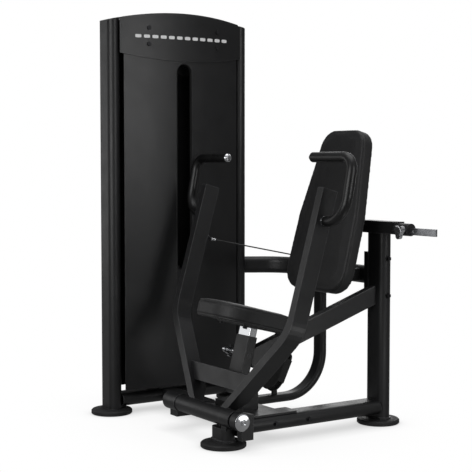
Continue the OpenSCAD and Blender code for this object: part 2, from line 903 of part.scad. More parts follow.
module top_bar() {
  mid_z = upright_h + top_bar_t / 2;
  color(frame_grey) difference() {
    union() {
      translate([top_bar_x0, top_bar_y - top_bar_t / 2, upright_h])
        cube([top_bar_x1 - top_bar_x0, top_bar_t, top_bar_t]);
      translate([0, top_bar_y, mid_z - 4]) rod_x(top_bar_t / 2, top_bar_x1, top_bar_x1 + boss_l);
    }
    translate([top_bar_x0 + 40, top_bar_y - 4.3, bar_z - 13]) cube([300, 8.6, 26]);
    translate([knob_x, top_bar_y, bar_z]) rotate([90, 0, 0]) cylinder(r = 6.05, h = 40);
  }
}

module adjuster_bar() {
  bar_x0 = top_bar_x0 + 90;
  color(steel_grey) difference() {
    translate([bar_x0, top_bar_y - 4, bar_z - 12.5]) cube([bar_end_x - bar_x0, 8, 25]);
    translate([knob_x + 38, top_bar_y - 10, bar_z]) rotate([-90, 0, 0]) cylinder(r = 5.5, h = 20);
  }
}

// Three-lobed knob on a plunger: the plunger starts at the origin and the knob is towards +Z
module star_knob(plunger_r, plunger_l, knob_r) {
  cylinder(r = plunger_r, h = plunger_l + 2);
  translate([0, 0, plunger_l]) cylinder(r = knob_r * 0.6, h = 16);
  for (a = [30:120:270]) rotate([0, 0, a]) translate([knob_r * 0.58, 0, plunger_l + 1])
    cylinder(r = knob_r * 0.42, h = 13);
}

module adjuster_knob() {
  color(chrome_silver) translate([knob_x, top_bar_y - 4 - gap, bar_z]) rotate([90, 0, 0])
    star_knob(6, 24, 27);
}

// ---- Back pad ----

// Frame of the back pad: X across, Y up along the pad, Z to the front of the pad
module back_plane() {
  translate([0, back_y, back_z]) rotate([90 - lean, 0, 0]) children();
}

module back_outline() {
  low_r = 80;
  top_r = 70;
  low = back_w / 2 - low_r;
  top = back_top_w / 2 - top_r;
  hull() for (side = [-1, 1]) {
    translate([side * low, low_r]) circle(low_r);
    translate([side * (low - 4), back_l * 0.45]) circle(low_r);
    translate([side * top, back_l - top_r]) circle(top_r);
  }
}

module back_pad() {
  color(vinyl_black) back_plane() translate([0, 0, -back_t]) linear_extrude(back_t) back_outline();
}

module back_bracket() {
  arm_z = upright_h + top_bar_t / 2;
  pad_rear_y = back_y + (arm_z - back_z) * tan(lean) + (back_t + 12) / cos(lean);
  low_rear_y = back_y + (cross_z - back_z) * tan(lean) + (back_t + 12) / cos(lean);
  color(frame_grey) {
    back_plane() translate([0, 0, -back_t - 12]) {
      translate([-90, 40, 0]) cube([180, 480, 12]);
      translate([-35, 20, -20]) cube([70, 300, 20]);
    }
    translate([top_bar_x0 - 8, pad_rear_y - 2, arm_z - 22])
      cube([8, top_bar_y + top_bar_t / 2 - pad_rear_y + 2, 44]);
    translate([-25, low_rear_y + 10, cross_z - 22])
      cube([50, upright_y - low_rear_y - cross_w / 2 - 10, 44]);
  }
}

// ---- Seat ----

// Frame of the seat post: Z up along the post, through its top middle
module post_frame() {
  translate([0, post_y, post_z]) rotate([-lean, 0, 0]) children();
}

module seat_post_sleeve() {
  color(frame_grey) {
    difference() {
      post_frame() {
        translate([0, 0, -sleeve_l]) linear_extrude(sleeve_l) difference() {
          rounded(sleeve_x, sleeve_d, 5);
          square([post_x + 0.4, post_d + 0.4], center = true);
        }
      }
      post_frame() translate([-60, 0, pop_h]) rod_x(8.05, 0, 40);
    }
    post_frame() translate([sleeve_x / 2, 0, -66]) rotate([0, 90, 0]) hex_bolt(6, 5);
    difference() {
      translate([-sleeve_x / 2, 108, 94]) cube([sleeve_x, 80, 56]);
      post_frame() translate([-50, -sleeve_d / 2 - 40, -400]) cube([100, sleeve_d + 40, 420]);
    }
  }
}

module seat_rail() {
  rail_w = 40;
  rail_h = 63;
  start = [0, 170, 262];
  end = [frame_x - 6, upright_front + 20, 262 + (upright_front + 20 - 170) * 0.431];
  run = end - start;
  flat = sqrt(run[0] * run[0] + run[1] * run[1]);
  color(frame_grey) difference() {
    translate(start) rotate([0, 0, -atan2(run[0], run[1])]) rotate([atan2(run[2], flat), 0, 0])
      translate([-rail_w / 2, 0, -rail_h / 2]) difference() {
        cube([rail_w, norm(run), rail_h]);
        translate([wall, -1, wall]) cube([rail_w - 2 * wall, norm(run) + 2, rail_h - 2 * wall]);
      }
    post_frame() translate([-60, -100, -300]) cube([120, 100 + sleeve_d / 2, 400]);
    translate([frame_x - 60, upright_front, 0]) cube([120, 200, 800]);
  }
}

module seat_pop_pin() {
  color(chrome_silver) post_frame() translate([-post_x / 2 - gap, 0, pop_h])
    rotate([0, -90, 0]) star_knob(8, 46, 25);
}

// Chrome post with a plate on top that carries the seat pad
module seat_carriage() {
  reach_down = 150;
  plate_t = 5;
  post_top = (seat_z - post_z) * cos(lean) - (post_y - seat_y) * sin(lean) - seat_t - plate_t;
  color(chrome_silver) difference() {
    post_frame() {
      translate([0, 0, -reach_down]) linear_extrude(reach_down + post_top)
        rounded(post_x, post_d, 4);
      translate([0, 0, post_top]) linear_extrude(plate_t) rounded(172, 166, 10);
    }
    for (i = [0:3]) post_frame() translate([-60, 0, pop_h - i * hole_pitch]) rod_x(6.2, 0, 40);
  }
}

// Frame of the seat pad: X across, Y back along the pad, Z up from the pad's top face
module seat_plane() {
  translate([0, seat_y, seat_z]) rotate([-lean, 0, 0]) children();
}

module seat_outline() {
  rear_r = 55;
  front = seat_w / 2 - seat_front_r;
  rear = seat_w / 2 - rear_r;
  hull() for (side = [-1, 1]) {
    translate([side * front, seat_front_r]) circle(seat_front_r);
    translate([side * rear, seat_l - rear_r]) circle(rear_r);
  }
}

module seat_pad() {
  color(vinyl_black) seat_plane() translate([0, 0, -seat_t]) linear_extrude(seat_t) seat_outline();
}

placed() tower_front_upright();
placed() tower_rear_upright();
placed() tower_top_beam();
placed() tower_base_tube();
placed() header_panel();
placed() header_screws();
placed() tower_top_cap();
placed() front_shroud();
placed() slot_trim();
placed() rear_shroud();
placed() foot_discs();
placed() guide_rods();
placed() stack_buffers();
placed() resting_plates();
placed() lifted_plates();
placed() head_plate();
placed() selector_stem();
placed() selector_pin();
placed() main_beam();
placed() frame_bolts();
placed() crossbar();
placed() link_tube();
placed() front_post();
placed() pivot_bracket();
placed() left_pivot_block();
placed() pivot_shaft();
placed() pivot_end_disc();
placed() pivot_tube();
placed() pivot_bushes();
placed() left_press_arm();
placed() right_press_arm();
placed() foot_bar();
placed() handle_tubes();
placed() hand_grips();
placed() grip_caps();
placed() handle_collars();
placed() cable_anchor();
placed() drive_cable();
placed() return_cable();
placed() stack_cable();
placed() rear_pulley();
placed() guard_pulley();
placed() tower_lower_pulley();
placed() top_inner_pulley();
placed() top_outer_pulley();
placed() pulley_mounts();
placed() pulley_guard();
placed() spine_tube();
placed() cross_tube();
placed() rear_upright();
placed() top_bar();
placed() adjuster_bar();
placed() adjuster_knob();
placed() back_bracket();
placed() back_pad();
placed() seat_rail();
placed() seat_post_sleeve();
placed() seat_pop_pin();
placed() seat_carriage();
placed() seat_pad();
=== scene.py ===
"""Looks of the seated chest press machine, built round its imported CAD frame.

Lengths are in metres in the CAD's row frame: origin on the floor under the middle of the machine, +Z up,
the seated user faces -Y and the weight tower stands on -X.
"""

import math

import bmesh
import bpy
import numpy as np
from mathutils import Matrix, Vector
from mathutils.bvhtree import BVHTree


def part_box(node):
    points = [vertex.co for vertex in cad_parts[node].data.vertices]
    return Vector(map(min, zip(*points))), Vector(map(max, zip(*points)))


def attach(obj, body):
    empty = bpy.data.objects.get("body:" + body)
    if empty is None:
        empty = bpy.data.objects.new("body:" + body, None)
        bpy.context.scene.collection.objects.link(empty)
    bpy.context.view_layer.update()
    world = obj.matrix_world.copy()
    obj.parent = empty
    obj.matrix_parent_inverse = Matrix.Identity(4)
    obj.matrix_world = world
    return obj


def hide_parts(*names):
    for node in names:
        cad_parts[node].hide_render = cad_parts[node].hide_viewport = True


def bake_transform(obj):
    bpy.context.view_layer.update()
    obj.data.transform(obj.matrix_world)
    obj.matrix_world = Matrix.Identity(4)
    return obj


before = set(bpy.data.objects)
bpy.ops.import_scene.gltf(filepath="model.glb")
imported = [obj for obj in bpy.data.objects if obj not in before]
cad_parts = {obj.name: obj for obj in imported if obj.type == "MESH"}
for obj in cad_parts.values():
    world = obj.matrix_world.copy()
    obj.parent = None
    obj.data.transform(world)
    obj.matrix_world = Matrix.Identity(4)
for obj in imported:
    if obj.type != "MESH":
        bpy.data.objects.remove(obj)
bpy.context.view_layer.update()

PAD_LEAN = math.radians(15)
VOXEL = 0.005
CLOTH_FRAMES = 20
EVENING_ROUNDS = 25
PAD_PRESSURE = 4.0
PAD_CROWN = 0.004

# Sewn seams of the cushions
GROOVE_HALF_WIDTH = 0.0026
GROOVE_DEPTH = 0.0028
STITCH_OFFSET = 0.005


# ---- Materials: each one is a node tree on object coordinates, so it needs no UVs ----


class Paint:
    """One material and short calls that add nodes to it."""

    def __init__(self, name, **inputs):
        self.material = bpy.data.materials.new(name)
        self.material.use_nodes = True
        self.tree = self.material.node_tree
        self.tree.nodes.clear()
        self.bsdf = self.add("ShaderNodeBsdfPrincipled", **inputs)
        self.output = self.add("ShaderNodeOutputMaterial")
        self.link(self.bsdf, "BSDF", self.output, "Surface")
        self.place = self.add("ShaderNodeTexCoord")

    def add(self, kind, **inputs):
        node = self.tree.nodes.new(kind)
        for key, value in inputs.items():
            node.inputs[key.replace("_", " ")].default_value = value
        return node

    def link(self, source, out, target, into):
        self.tree.links.new(source.outputs[out], target.inputs[into])

    def stretched(self, scale):
        """Object coordinates scaled by a different amount on each axis."""
        mapping = self.add("ShaderNodeMapping", Scale=scale)
        self.link(self.place, "Object", mapping, "Vector")
        return mapping

    def noise(self, scale, detail=3.0, rough=0.55, stretch=None):
        node = self.add("ShaderNodeTexNoise", Scale=scale, Detail=detail, Roughness=rough)
        if stretch:
            self.link(self.stretched(stretch), "Vector", node, "Vector")
        else:
            self.link(self.place, "Object", node, "Vector")
        return node

    def cells(self, scale):
        node = self.add("ShaderNodeTexVoronoi", Scale=scale)
        self.link(self.place, "Object", node, "Vector")
        return node

    def ramp(self, source, out, stops):
        """Colour ramp: stops are (place, grey or colour)."""
        node = self.add("ShaderNodeValToRGB")
        elements = node.color_ramp.elements
        while len(elements) < len(stops):
            elements.new(0.5)
        for element, (place, tone) in zip(elements, stops):
            element.position = place
            element.color = (tone, tone, tone, 1) if isinstance(tone, float) else (*tone, 1)
        self.link(source, out, node, "Fac")
        return node

    def span(self, source, out, low, high):
        node = self.add("ShaderNodeMapRange", From_Min=0.3, From_Max=0.7, To_Min=low, To_Max=high)
        self.link(source, out, node, "Value")
        return node

    def bumps(self, layers, edge=0.0):
        """Chain of bumps over softened edges. Each layer is (node, output, height in metres)."""
        last = None
        if edge:
            last = self.add("ShaderNodeBevel", Radius=edge)
            last.samples = 4
        for source, out, height in layers:
            bump = self.add("ShaderNodeBump", Strength=1.0, Distance=height)
            self.link(source, out, bump, "Height")
            if last:
                self.link(last, "Normal", bump, "Normal")
            last = bump
        self.link(last, "Normal", self.bsdf, "Normal")

    def edge_abrasion_and_highlight_mask(self, radius):
        """Bright where the surface turns sharply: marks edges for abrasion and for a painted highlight."""
        soft = self.add("ShaderNodeBevel", Radius=radius)
        soft.samples = 4
        plain = self.add("ShaderNodeNewGeometry")
        dot = self.add("ShaderNodeVectorMath")
        dot.operation = "DOT_PRODUCT"
        self.link(soft, "Normal", dot, 0)
        self.link(plain, "Normal", dot, 1)
        return self.ramp(dot, "Value", [(0.90, 1.0), (0.985, 0.0)])

    def mix(self, factor, factor_out, first, second):
        """Colour mix; first and second are colours or (node, output)."""
        node = self.add("ShaderNodeMix")
        node.data_type = "RGBA"
        self.tree.links.new(factor.outputs[factor_out], node.inputs[0])
        for index, item in ((6, first), (7, second)):
            if isinstance(item[0], float):
                node.inputs[index].default_value = (*item, 1)
            else:
                self.tree.links.new(item[0].outputs[item[1]], node.inputs[index])
        return node

    def colour(self, mixed):
        """Base colour from a colour mix, whose colour output is the third one."""
        self.tree.links.new(mixed.outputs[2], self.bsdf.inputs["Base Color"])

    def rough(self, node):
        self.link(node, "Result", self.bsdf, "Roughness")


def coated(name, dark, light, edge_abrasion_and_highlight_tone, rough, peel=900.0, edge=0.0014, edge_abrasion_and_highlight_reach=0.0045):
    """Sprayed or powder-coated metal: faint mottling, orange peel, dust, and lighter edges that are partly
    abraded paint and partly a painted highlight.
    """
    p = Paint(name, Specular_IOR_Level=0.42, Coat_Weight=0.12, Coat_Roughness=0.25)
    mottle = p.noise(7.0, 4.0)
    fine = p.noise(peel, 2.0)
    base = p.mix(p.span(mottle, "Fac", 0.0, 1.0), "Result", dark, light)
    edge_patches = p.noise(38.0, 6.0, 0.7)
    # painted highlight with abrasion: sharp edges, broken into patches, are lightened towards the edge tone
    # as if they caught the light
    edge_abrasion_and_highlight = p.add("ShaderNodeMath")
    edge_abrasion_and_highlight.operation = "MULTIPLY"
    p.link(p.edge_abrasion_and_highlight_mask(edge_abrasion_and_highlight_reach), "Color", edge_abrasion_and_highlight, 0)
    p.link(p.span(edge_patches, "Fac", 0.1, 1.0), "Result", edge_abrasion_and_highlight, 1)
    p.colour(p.mix(edge_abrasion_and_highlight, "Value", (base, 2), edge_abrasion_and_highlight_tone))
    p.rough(p.span(p.noise(16.0, 5.0), "Fac", rough[0], rough[1]))
    p.bumps([(mottle, "Fac", 0.0004), (fine, "Fac", 0.00022)], edge)
    return p.material


def leathered(name):
    """Black upholstery vinyl with a pebbled grain, and painted shade in the hollows between pebbles."""
    p = Paint(name, Specular_IOR_Level=0.45, Sheen_Weight=0.08, Sheen_Roughness=0.4)
    pebble = p.cells(620.0)
    pores = p.noise(1500.0, 2.0)
    crease = p.noise(34.0, 6.0, 0.65)
    tone = p.noise(9.0, 3.0)
    base = p.mix(p.span(tone, "Fac", 0.0, 1.0), "Result", (0.0088, 0.0088, 0.0092), (0.0135, 0.0135, 0.014))
    # painted shade: the colour darkens towards the cell edges, in the hollows between pebbles
    pebble_hollow_shade = p.ramp(pebble, "Distance", [(0.0, 0.0), (0.9, 0.35)])
    p.colour(p.mix(pebble_hollow_shade, "Color", (base, 2), (0.006, 0.006, 0.006)))
    p.rough(p.span(crease, "Fac", 0.42, 0.56))
    p.bumps([(crease, "Fac", 0.0006), (pebble, "Distance", 0.00025), (pores, "Fac", 0.00006)])
    return p.material


def moulded(name, tone, rough, grain, edge=0.0012):
    """Rubber or nylon: near black, with fine texture and a chalky bloom."""
    p = Paint(name, Specular_IOR_Level=0.4)
    bloom = p.noise(12.0, 5.0)
    fine = p.noise(grain, 2.0)
    light = tuple(1.7 * t + 0.002 for t in tone)
    p.colour(p.mix(p.span(bloom, "Fac", 0.0, 1.0), "Result", tone, light))
    p.rough(p.span(p.noise(40.0, 4.0), "Fac", rough[0], rough[1]))
    p.bumps([(bloom, "Fac", 0.0003), (fine, "Fac", 0.00018)], edge)
    return p.material


def polished(name, tone, rough, stretch, depth):
    """Bare or plated metal: fine drawn lines and cloudy smudges."""
    p = Paint(name, Metallic=1.0)
    lines = p.noise(1.0, 3.0, 0.6, stretch)
    smudge = p.noise(22.0, 5.0, 0.6)
    darker = tuple(0.72 * t for t in tone)
    p.colour(p.mix(p.span(smudge, "Fac", 0.0, 1.0), "Result", tone, darker))
    p.rough(p.span(smudge, "Fac", rough[0], rough[1]))
    p.bumps([(lines, "Fac", depth)], 0.001)
    return p.material


def part_plated(name, normal, level):
    """Chrome below a level along a direction, black paint above it: a plated post under a painted plate."""
    p = Paint(name)
    along = p.add("ShaderNodeVectorMath")
    along.operation = "DOT_PRODUCT"
    p.link(p.place, "Object", along, 0)
    along.inputs[1].default_value = normal
    above = p.add("ShaderNodeMath")
    above.operation = "GREATER_THAN"
    p.link(along, "Value", above, 0)
    above.inputs[1].default_value = level
    metal = p.add("ShaderNodeMath")
    metal.operation = "SUBTRACT"
    metal.inputs[0].default_value = 1.0
    p.link(above, "Value", metal, 1)
    p.link(metal, "Value", p.bsdf, "Metallic")
    smudge = p.noise(22.0, 5.0, 0.6)
    p.colour(p.mix(above, "Value", (0.80, 0.81, 0.83), (0.009, 0.009, 0.0095)))
    gloss = p.add("ShaderNodeMath")
    gloss.operation = "MULTIPLY_ADD"
    p.link(above, "Value", gloss, 0)
    gloss.inputs[1].default_value = 0.34
    p.link(p.span(smudge, "Fac", 0.05, 0.15), "Result", gloss, 2)
    p.link(gloss, "Value", p.bsdf, "Roughness")
    p.bumps([(smudge, "Fac", 0.00006)], 0.001)
    return p.material


def cast(name):
    """Painted cast iron weight plates: coarse sand texture under black paint."""
    p = Paint(name, Specular_IOR_Level=0.4)
    sand = p.noise(420.0, 4.0, 0.7)
    pits = p.cells(260.0)
    patch = p.span(p.noise(20.0, 4.0), "Fac", 0.0, 1.0)
    p.colour(p.mix(patch, "Result", (0.012, 0.012, 0.013), (0.022, 0.022, 0.023)))
    p.rough(p.span(sand, "Fac", 0.5, 0.7))
    p.bumps([(sand, "Fac", 0.0003), (pits, "Distance", 0.0002)], 0.002)
    return p.material


def printed(name):
    """White screen print on the header: slightly uneven ink."""
    p = Paint(name, Specular_IOR_Level=0.3)
    ink = p.noise(240.0, 4.0)
    p.colour(p.mix(p.span(ink, "Fac", 0.0, 1.0), "Result", (0.86, 0.86, 0.86), (0.7, 0.7, 0.7)))
    p.rough(p.span(ink, "Fac", 0.45, 0.6))
    p.bumps([(ink, "Fac", 0.00003)])
    return p.material


def sheathed(name):
    """Steel cable in a thin black sleeve: the strands show through as slanting ridges."""
    p = Paint(name, Specular_IOR_Level=0.5)
    strand = p.add("ShaderNodeTexWave", Scale=520.0, Distortion=0.6)
    strand.bands_direction = "DIAGONAL"
    p.link(p.place, "Object", strand, "Vector")
    ridge = p.ramp(strand, "Fac", [(0.2, 0.0), (0.9, 1.0)])
    p.colour(p.mix(ridge, "Color", (0.004, 0.004, 0.004), (0.016, 0.016, 0.017)))
    p.rough(p.span(p.noise(60.0), "Fac", 0.3, 0.45))
    p.bumps([(strand, "Fac", 0.0003)])
    return p.material


PAINTS = {
    # each coat: name, dark and light tones, edge tone (abrasion plus painted highlight), roughness range
    "powder_coat": coated(
        "powder_coat", (0.0072, 0.0073, 0.0077), (0.0105, 0.0107, 0.0113), (0.09, 0.09, 0.094), (0.34, 0.46)
    ),
    "panel_coat": coated(
        "panel_coat", (0.0088, 0.0089, 0.0093), (0.0112, 0.0113, 0.0118), (0.05, 0.05, 0.052), (0.28, 0.36),
        peel=1300.0
    ),
    "vinyl": leathered("vinyl"),
    "grip": moulded("grip", (0.0036, 0.0036, 0.0037), (0.26, 0.34), 900.0, 0.0008),
    "rubber": moulded("rubber", (0.008, 0.008, 0.0082), (0.5, 0.66), 700.0),
    "nylon": moulded("nylon", (0.011, 0.011, 0.011), (0.38, 0.5), 1200.0, 0.0008),
    "chrome": polished("chrome", (0.83, 0.84, 0.86), (0.05, 0.16), stretch=(60.0, 60.0, 60.0), depth=0.00003),
    "steel": polished("steel", (0.42, 0.43, 0.45), (0.24, 0.4), stretch=(30.0, 700.0, 700.0), depth=0.00005),
    "black_steel": polished(
        "black_steel", (0.05, 0.05, 0.053), (0.3, 0.45), stretch=(300.0, 300.0, 300.0), depth=0.00004
    ),
    "cast_iron": cast("cast_iron"),
    "print": printed("print"),
    "cable": sheathed("cable"),
}

NODE_PAINTS = {
    "panel_coat": ["header_panel", "tower_top_cap", "front_shroud", "rear_shroud"],
    "grip": ["hand_grips"],
    "rubber": ["slot_trim", "foot_discs", "stack_buffers"],
    "nylon": ["selector_pin", "rear_pulley", "guard_pulley", "tower_lower_pulley", "top_inner_pulley",
              "top_outer_pulley", "pulley_guard"],
    "chrome": ["guide_rods", "pivot_shaft", "pivot_end_disc", "grip_caps", "handle_collars", "adjuster_knob",
               "seat_pop_pin", "seat_carriage"],
    "steel": ["selector_stem", "pivot_bushes", "adjuster_bar"],
    "black_steel": ["header_screws", "frame_bolts", "cable_anchor"],
    "cast_iron": ["resting_plates", "lifted_plates", "head_plate"],
    "cable": ["return_cable"],
}


def paint(obj, name):
    obj.data.materials.clear()
    obj.data.materials.append(PAINTS[name])


def paint_frame():
    chosen = {node: name for name, nodes in NODE_PAINTS.items() for node in nodes}
    for node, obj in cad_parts.items():
        paint(obj, chosen.get(node, "powder_coat"))


# Square tubes and plates of the frame whose corners are rolled or broken, with the radius
SOFT_EDGES = {
    "left_press_arm": 0.0025,
    "right_press_arm": 0.0025,
    "foot_bar": 0.002,
    "crossbar": 0.002,
    "link_tube": 0.003,
    "seat_rail": 0.003,
    "seat_post_sleeve": 0.0012,
    "top_bar": 0.0025,
    "adjuster_bar": 0.0008,
    "back_bracket": 0.0015,
    "seat_carriage": 0.0008,
}


# The press arms are bent, not mitred, at this height
ARM_KINK = (0.375, 0.415)
ARM_BEND = 0.045


def bend_kink(obj):
    """Rounds the two creases of a press arm at its kink."""
    flat = obj.modifiers.new("flat", "DECIMATE")
    flat.decimate_type = "DISSOLVE"
    flat.angle_limit = math.radians(1)
    group = obj.vertex_groups.new(name="kink")
    low, high = ARM_KINK
    group.add([v.index for v in obj.data.vertices if low < v.co.z < high], 1.0, "REPLACE")
    bend = obj.modifiers.new("bend", "BEVEL")
    bend.width = ARM_BEND
    bend.segments = 6
    bend.limit_method = "VGROUP"
    bend.vertex_group = "kink"
    bend.use_clamp_overlap = True


def soften_edges():
    for node, radius in SOFT_EDGES.items():
        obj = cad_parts[node]
        weld = obj.modifiers.new("weld", "WELD")
        weld.merge_threshold = 1e-5
        if node.endswith("press_arm"):
            bend_kink(obj)
        bevel = obj.modifiers.new("bevel", "BEVEL")
        bevel.width = radius
        bevel.segments = 3
        bevel.limit_method = "ANGLE"
        bevel.angle_limit = math.radians(40)
        bevel.harden_normals = False
        bevel.use_clamp_overlap = True
        normals = obj.modifiers.new("normals", "WEIGHTED_NORMAL")
        normals.keep_sharp = True


# ---- Mesh helpers ----


def piece(name, mesh, look, body=None):
    """Object from a bmesh or a mesh, painted, riding on a body."""
    if isinstance(mesh, bmesh.types.BMesh):
        data = bpy.data.meshes.new(name)
        mesh.to_mesh(data)
        mesh.free()
    else:
        data = mesh
        data.name = name
    obj = bpy.data.objects.new(name, data)
    bpy.context.scene.collection.objects.link(obj)
    for polygon in data.polygons:
        polygon.use_smooth = True
    data.set_sharp_from_angle(angle=math.radians(38))
    paint(obj, look)
    if body:
        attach(obj, body)
    return obj


def lathe(bm, profile, place, segments=40):
    """Adds a closed turned shape to bm; the profile's (radius, height) pairs start and end on the axis."""
    rings = []
    for radius, height in profile:
        if radius < 1e-9:
            rings.append([bm.verts.new(place @ Vector((0, 0, height)))])
            continue
        ring = []
        for i in range(segments):
            a = 2 * math.pi * i / segments
            ring.append(bm.verts.new(place @ Vector((radius * math.cos(a), radius * math.sin(a), height))))
        rings.append(ring)
    for low, high in zip(rings, rings[1:]):
        for i in range(segments):
            j = (i + 1) % segments
            corners = [low[i % len(low)], low[j % len(low)], high[j % len(high)], high[i % len(high)]]
            corners = list(dict.fromkeys(corners))
            if len(corners) > 2:
                bm.faces.new(corners)


def hex_head(bm, place, across, height):
    """Hexagon head with a broken rim on a washer; it stands on the place's XY plane towards +Z."""
    washer, washer_t = 0.72 * across, 0.0016
    rim = [(washer - 0.0004, 0), (washer, 0.0004), (washer, 0.0012), (washer - 0.0005, washer_t)]
    lathe(bm, [(0, 0), *rim, (0, washer_t)], place, 32)
    corner = across / math.sqrt(3)
    rings = []
    for radius, level in ((corner, washer_t + 0.0001), (corner, height - 0.0012), (corner * 0.86, height)):
        ring = []
        for i in range(6):
            a = math.pi / 3 * i
            ring.append(bm.verts.new(place @ Vector((radius * math.cos(a), radius * math.sin(a), level))))
        rings.append(ring)
    for low, high in zip(rings, rings[1:]):
        for i in range(6):
            bm.faces.new([low[i], low[(i + 1) % 6], high[(i + 1) % 6], high[i]])
    bm.faces.new(rings[-1])
    bm.faces.new(list(reversed(rings[0])))


def aim(start, end):
    """Matrix that puts +Z along start to end, at start."""
    turn = (Vector(end) - Vector(start)).to_track_quat("Z", "Y").to_matrix().to_4x4()
    return Matrix.Translation(start) @ turn


def node_points(node):
    return np.array([v.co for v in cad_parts[node].data.vertices], float).reshape(-1, 3)


def rod_ends(node):
    """Middle points of the two ends of a straight round node."""
    points = node_points(node)
    middle = points.mean(0)
    direction = np.linalg.svd(points - middle, full_matrices=False)[2][0]
    along = (points - middle) @ direction
    low, high = along.min(), along.max()
    return [Vector(points[abs(along - t) < 1e-4].mean(0)) for t in (low, high)]


# ---- Cushions ----


class PadShape:
    """Outline and frame of a padded node: local X across, Y along, Z out of the face that is sat on."""

    def __init__(self, node, turn):
        self.frame = Matrix.Rotation(turn, 4, "X")
        inverse = np.array(self.frame.inverted().to_3x3(), float)
        points = node_points(node) @ inverse.T
        self.low, self.high = points[:, 2].min(), points[:, 2].max()
        top = points[points[:, 2] > self.high - 1e-4][:, :2]
        self.middle = (top.min(0) + top.max(0)) / 2
        angles = np.linspace(0, 2 * math.pi, 361)[:-1]
        self.normals = np.stack([np.cos(angles), np.sin(angles)], 1)
        self.support = ((top - self.middle) @ self.normals.T).max(0)
        self.outline = self._even_outline(top - self.middle)

    def _even_outline(self, top, step=0.005):
        """Points at an even spacing round the convex outline, anticlockwise."""
        corners = []
        for normal in self.normals:
            best = int(np.argmax(top @ normal))
            if not corners or corners[-1] != best:
                corners.append(best)
        ring = top[corners]
        if np.allclose(ring[0], ring[-1]):
            ring = ring[:-1]
        closed = np.vstack([ring, ring[:1]])
        lengths = np.linalg.norm(np.diff(closed, axis=0), axis=1)
        total = np.concatenate([[0], np.cumsum(lengths)])
        count = int(total[-1] / step)
        marks = np.arange(count) * total[-1] / count
        return np.stack([np.interp(marks, total, closed[:, i]) for i in (0, 1)], 1)

    def inset(self, amount):
        """The outline moved inwards by amount."""
        tangent = np.roll(self.outline, -1, 0) - np.roll(self.outline, 1, 0)
        outward = np.stack([tangent[:, 1], -tangent[:, 0]], 1)
        outward /= np.linalg.norm(outward, axis=1)[:, None]
        return self.outline - outward * amount

    def depth(self, flat):
        """Distance inwards from the outline to each local XY point."""
        return (self.support[None, :] - (flat - self.middle) @ self.normals.T).min(1)


def closed_stack(layers, middle, place):
    """Closed mesh through rings of equal count: layers are (ring of XY, height)."""
    bm = bmesh.new()
    rings = []
    for ring, height in layers:
        rings.append([bm.verts.new(place @ Vector((x + middle[0], y + middle[1], height))) for x, y in ring])
    for low, high in zip(rings, rings[1:]):
        for i in range(len(low)):
            j = (i + 1) % len(low)
            bm.faces.new([low[i], low[j], high[j], high[i]])
    bm.faces.new(rings[-1])
    bm.faces.new(list(reversed(rings[0])))
    return bm


def applied(obj):
    """Mesh of obj with its modifiers applied."""
    graph = bpy.context.evaluated_depsgraph_get()
    return bpy.data.meshes.new_from_object(obj.evaluated_get(graph))


def remeshed(bm, voxel):
    data = bpy.data.meshes.new("pad_start")
    bm.to_mesh(data)
    bm.free()
    obj = bpy.data.objects.new("pad_start", data)
    bpy.context.scene.collection.objects.link(obj)
    remesh = obj.modifiers.new("remesh", "REMESH")
    remesh.mode = "VOXEL"
    remesh.voxel_size = voxel
    remesh.use_smooth_shade = True
    mesh = applied(obj)
    bpy.data.objects.remove(obj)
    return mesh


def coordinates(mesh):
    values = np.zeros(len(mesh.vertices) * 3)
    mesh.vertices.foreach_get("co", values)
    return values.reshape(-1, 3)


def set_coordinates(mesh, values):
    mesh.vertices.foreach_set("co", values.astype(np.float32).ravel())
    mesh.update()


def evened(mesh, field, rounds):
    """The field with each point's value pulled towards the mean of its neighbours, rounds times."""
    ends = np.zeros(len(mesh.edges) * 2, np.int32)
    mesh.edges.foreach_get("vertices", ends)
    ends = ends.reshape(-1, 2)
    near, far = np.concatenate([ends[:, 0], ends[:, 1]]), np.concatenate([ends[:, 1], ends[:, 0]])
    count = np.maximum(np.bincount(near, minlength=len(field)), 1)
    for _ in range(rounds):
        for axis in range(field.shape[1]):
            around = np.bincount(near, field[far, axis], len(field)) / count
            field[:, axis] = 0.5 * field[:, axis] + 0.5 * around
    return field


def inflated(mesh, held, pressure, cap):
    """Swells the mesh by a cloth simulation. Held says how firmly each point stays, cap how far it may go."""
    obj = bpy.data.objects.new("pad_cloth", mesh)
    bpy.context.scene.collection.objects.link(obj)
    start = coordinates(mesh)
    pins = obj.vertex_groups.new(name="held")
    for level in (0.25, 0.5, 0.75, 1.0):
        chosen = np.nonzero((held > level - 0.25) & (held <= level))[0]
        pins.add([int(i) for i in chosen], level, "REPLACE")
    cloth = obj.modifiers.new("cloth", "CLOTH")
    cloth.settings.quality = 5
    cloth.settings.mass = 0.3
    cloth.settings.tension_stiffness = 25
    cloth.settings.compression_stiffness = 25
    cloth.settings.shear_stiffness = 12
    cloth.settings.bending_stiffness = 3
    cloth.settings.use_pressure = True
    cloth.settings.uniform_pressure_force = pressure
    cloth.settings.effector_weights.gravity = 0
    cloth.settings.vertex_group_mass = "held"
    cloth.collision_settings.use_collision = False
    cloth.collision_settings.use_self_collision = False
    cloth.point_cache.frame_start = 1
    cloth.point_cache.frame_end = CLOTH_FRAMES
    for step in range(1, CLOTH_FRAMES + 1):
        bpy.context.scene.frame_set(step)
    result = applied(obj)
    bpy.data.objects.remove(obj)
    bpy.context.scene.frame_set(1)
    moved = evened(result, coordinates(result) - start, EVENING_ROUNDS)
    size = np.linalg.norm(moved, axis=1)
    soft = cap * np.tanh(size / cap)
    set_coordinates(result, start + moved * (soft / np.maximum(size, 1e-9))[:, None])
    return result


